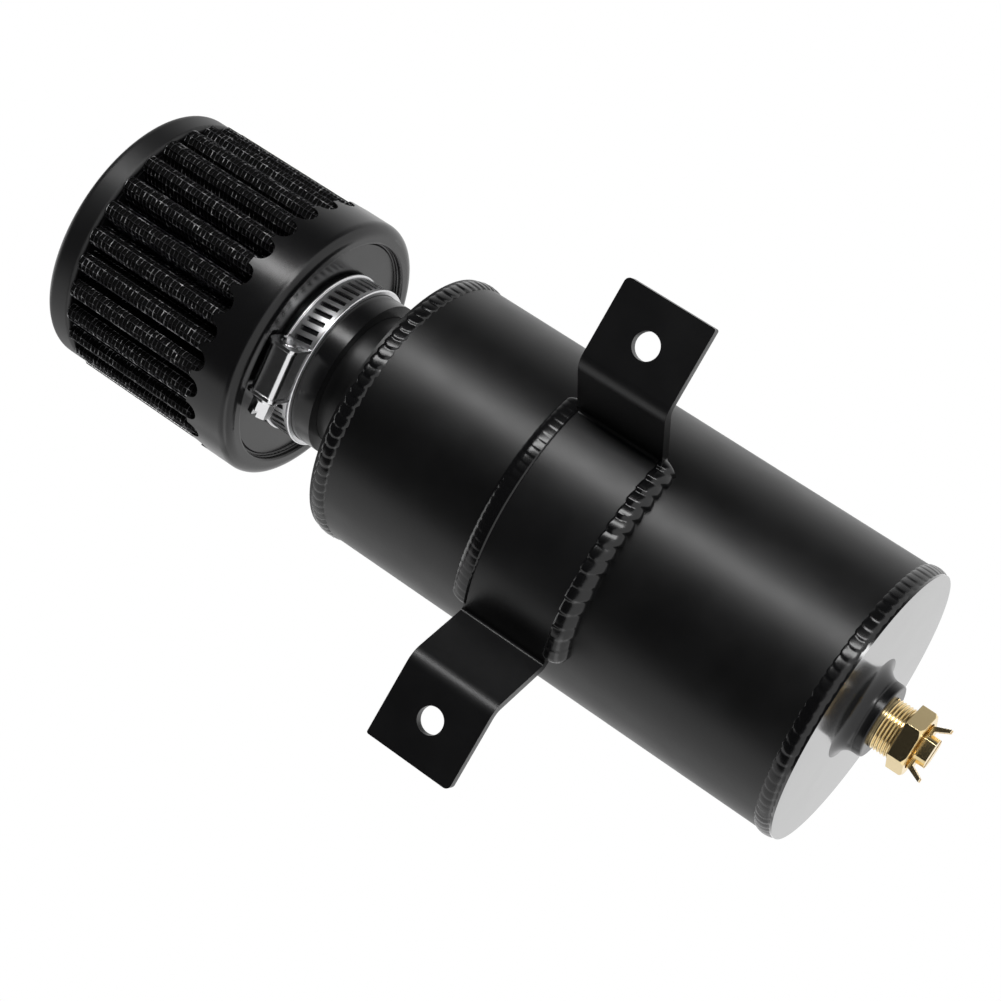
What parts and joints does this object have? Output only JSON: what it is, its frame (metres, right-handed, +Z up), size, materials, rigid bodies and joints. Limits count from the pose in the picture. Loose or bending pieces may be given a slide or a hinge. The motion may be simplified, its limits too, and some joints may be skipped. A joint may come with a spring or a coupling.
{
  "type": "oil catch can",
  "caption": "Welded round oil catch can with a clamp-on pleated breather filter, wall strap and winged drain cock.",
  "frame": {"origin": "midway between the two bolt holes, on the face of the ears that bolts to the wall", "axes": "+Z up along the can to the filter, -Y out of the bolting face towards the wall, X along the two ears"},
  "size_m": [0.1276, 0.1078, 0.2572],
  "materials": {
    "black_can": "satin",
    "weld_bead": "satin",
    "black_rubber": "satin",
    "pleated_gauze": "matt",
    "wire_mesh": "satin",
    "stainless": "bright",
    "brass": "bright machined"
  },
  "bodies": {
    "can": {"can_tube": "black_can", "bottom_plate": "black_can", "top_plate": "black_can", "bottom_weld": "weld_bead", "top_weld": "weld_bead", "drain_bung": "black_can", "bung_weld": "weld_bead", "breather_spigot": "black_can", "spigot_weld": "weld_bead", "mounting_strap": "black_can", "strap_weld_lower": "weld_bead", "strap_weld_upper": "weld_bead", "inlet_pipe_left": "black_can", "inlet_pipe_right": "black_can", "inlet_weld_left": "weld_bead", "inlet_weld_right": "weld_bead", "filter_base": "black_rubber", "filter_gauze": "pleated_gauze", "outer_mesh": "wire_mesh", "inner_mesh": "wire_mesh", "filter_end_cap": "black_rubber", "clamp_band": "stainless", "clamp_housing": "stainless", "drain_cock_body": "brass"},
    "worm_screw": {"clamp_screw": "stainless"},
    "drain_valve": {"drain_stem": "brass"}
  },
  "joints": [
    {"name": "screw_turn", "type": "hinge", "parent": "can", "child": "worm_screw", "pos_m": [-0.00471, 0.01831, 0.0886], "axis": [0.9848, -0.1736, 0], "range_deg": [-3510, 45]},
    {"name": "drain_turn", "type": "hinge", "parent": "can", "child": "drain_valve", "pos_m": [0, 0.045, -0.09], "axis": [0, 0, -1], "range_deg": [0, 450]}
  ]
}
